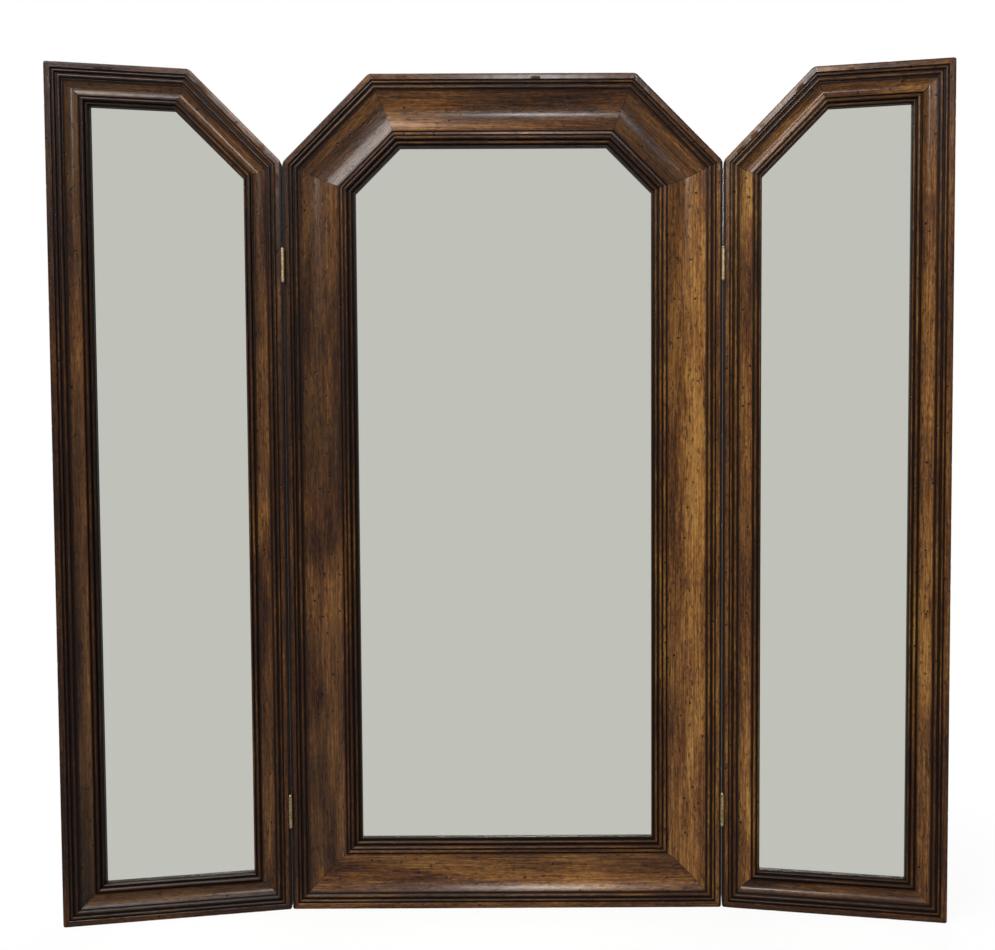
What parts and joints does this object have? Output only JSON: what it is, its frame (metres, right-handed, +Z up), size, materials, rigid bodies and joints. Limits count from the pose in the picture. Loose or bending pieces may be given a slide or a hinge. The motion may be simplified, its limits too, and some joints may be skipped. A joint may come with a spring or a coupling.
{
  "type": "triptych vanity mirror",
  "caption": "Tall three-panel vanity mirror: a clipped-corner centre mirror in a wide coved wood frame, with narrower mirror wings hinged to its front edges.",
  "frame": {"origin": "middle of the centre panel's bottom face, half way through the frame's thickness", "axes": "+X to the right of a person who faces the mirror, +Y away from that person towards the backs of the panels, +Z up; the mirrors face -Y"},
  "size_m": [1.2702, 0.0785, 1.219],
  "materials": {
    "stained_hardwood": "brown stained and distressed, satin lacquer",
    "silvered_glass": "silvered plate, plain edge",
    "hinge_brass": "plated, lightly tarnished",
    "screw_steel": "zinc plated",
    "beech": "raw beech, glued in",
    "hardboard": "plain hardboard"
  },
  "bodies": {
    "centre_panel": {"centre_backing_board": "hardboard", "centre_backing_screws": "screw_steel", "centre_bottom_rail": "stained_hardwood", "centre_hinge_screws": "hinge_brass", "centre_left_shoulder": "stained_hardwood", "centre_left_stile": "stained_hardwood", "centre_mirror_glass": "silvered_glass", "centre_mitre_tongues": "beech", "centre_right_shoulder": "stained_hardwood", "centre_right_stile": "stained_hardwood", "centre_top_rail": "stained_hardwood", "left_lower_hinge_centre_leaf": "hinge_brass", "left_lower_hinge_pin": "hinge_brass", "left_upper_hinge_centre_leaf": "hinge_brass", "left_upper_hinge_pin": "hinge_brass", "right_lower_hinge_centre_leaf": "hinge_brass", "right_lower_hinge_pin": "hinge_brass", "right_upper_hinge_centre_leaf": "hinge_brass", "right_upper_hinge_pin": "hinge_brass"},
    "left_wing": {"left_lower_hinge_wing_leaf": "hinge_brass", "left_upper_hinge_wing_leaf": "hinge_brass", "left_wing_backing_board": "hardboard", "left_wing_backing_screws": "screw_steel", "left_wing_bottom_rail": "stained_hardwood", "left_wing_hinge_screws": "hinge_brass", "left_wing_hinge_stile": "stained_hardwood", "left_wing_mirror_glass": "silvered_glass", "left_wing_mitre_tongues": "beech", "left_wing_outer_stile": "stained_hardwood", "left_wing_shoulder": "stained_hardwood", "left_wing_top_rail": "stained_hardwood"},
    "right_wing": {"right_lower_hinge_wing_leaf": "hinge_brass", "right_upper_hinge_wing_leaf": "hinge_brass", "right_wing_backing_board": "hardboard", "right_wing_backing_screws": "screw_steel", "right_wing_bottom_rail": "stained_hardwood", "right_wing_hinge_screws": "hinge_brass", "right_wing_hinge_stile": "stained_hardwood", "right_wing_mirror_glass": "silvered_glass", "right_wing_mitre_tongues": "beech", "right_wing_outer_stile": "stained_hardwood", "right_wing_shoulder": "stained_hardwood", "right_wing_top_rail": "stained_hardwood"}
  },
  "joints": [
    {"name": "left_wing_hinge", "type": "hinge", "parent": "centre_panel", "child": "left_wing", "pos_m": [-0.3173, -0.0189, 0.547], "axis": [0, 0, 1], "range_deg": [-8.5, 171.5]},
    {"name": "right_wing_hinge", "type": "hinge", "parent": "centre_panel", "child": "right_wing", "pos_m": [0.3173, -0.0189, 0.547], "axis": [0, 0, -1], "range_deg": [-8.5, 171.5]}
  ]
}
